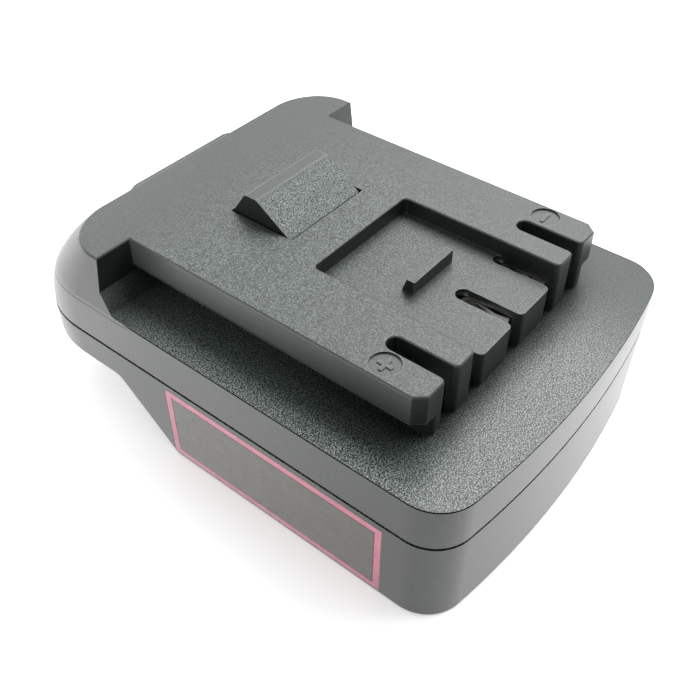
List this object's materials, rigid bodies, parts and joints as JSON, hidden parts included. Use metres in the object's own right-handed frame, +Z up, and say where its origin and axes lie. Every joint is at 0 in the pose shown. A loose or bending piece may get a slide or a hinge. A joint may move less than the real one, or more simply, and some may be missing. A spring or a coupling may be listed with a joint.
{
  "type": "tool battery adapter",
  "caption": "Slide-on adapter block with a railed tool interface on top and a slide-in battery pack receiver below, held by a spring-loaded release latch.",
  "frame": {"origin": "bottom centre of the whole adapter, at the plane of the receiver's lips", "axes": "+Y from the terminal end to the release button, +X to the minus side, +Z up out of the deck"},
  "size_m": [0.078, 0.1078, 0.0471],
  "materials": {
    "shell_plastic": "fine spark-eroded grain",
    "latch_plastic": "coarse spark-eroded grain",
    "spring_steel": "drawn wire",
    "circuit_board": "green solder mask",
    "chip_ceramic": "black with plated ends",
    "zinc_screw": "zinc plated",
    "black_screw": "black oxide",
    "holder_plastic": "smooth moulded",
    "plated_contact": "nickel plated",
    "label_film": "printed film, dark grey with a pink border",
    "red_lead": "smooth insulation",
    "yellow_lead": "smooth insulation",
    "black_lead": "smooth insulation"
  },
  "bodies": {
    "case": {"upper_shell": "shell_plastic", "lower_shell": "shell_plastic", "latch_spring_left": "spring_steel", "latch_spring_right": "spring_steel", "contact_board": "circuit_board", "board_resistors": "chip_ceramic", "board_screws": "zinc_screw", "case_screws": "black_screw", "blade_holder": "holder_plastic", "holder_screws": "zinc_screw", "side_label": "label_film", "lead_positive": "red_lead", "lead_signal": "yellow_lead", "lead_negative": "black_lead", "clip_positive": "plated_contact", "clip_signal_left": "plated_contact", "clip_signal_middle": "plated_contact", "clip_signal_right": "plated_contact", "clip_negative": "plated_contact", "blade_positive": "plated_contact", "blade_signal": "plated_contact", "blade_negative": "plated_contact"},
    "latch": {"release_latch": "latch_plastic"}
  },
  "joints": [
    {"name": "latch_press", "type": "slide", "parent": "case", "child": "latch", "axis": [0, 0, -1], "range_m": [0, 0.005], "stiffness_N_per_m": 900, "springref_m": -0.003, "deforming": ["latch_spring_left", "latch_spring_right"]}
  ]
}
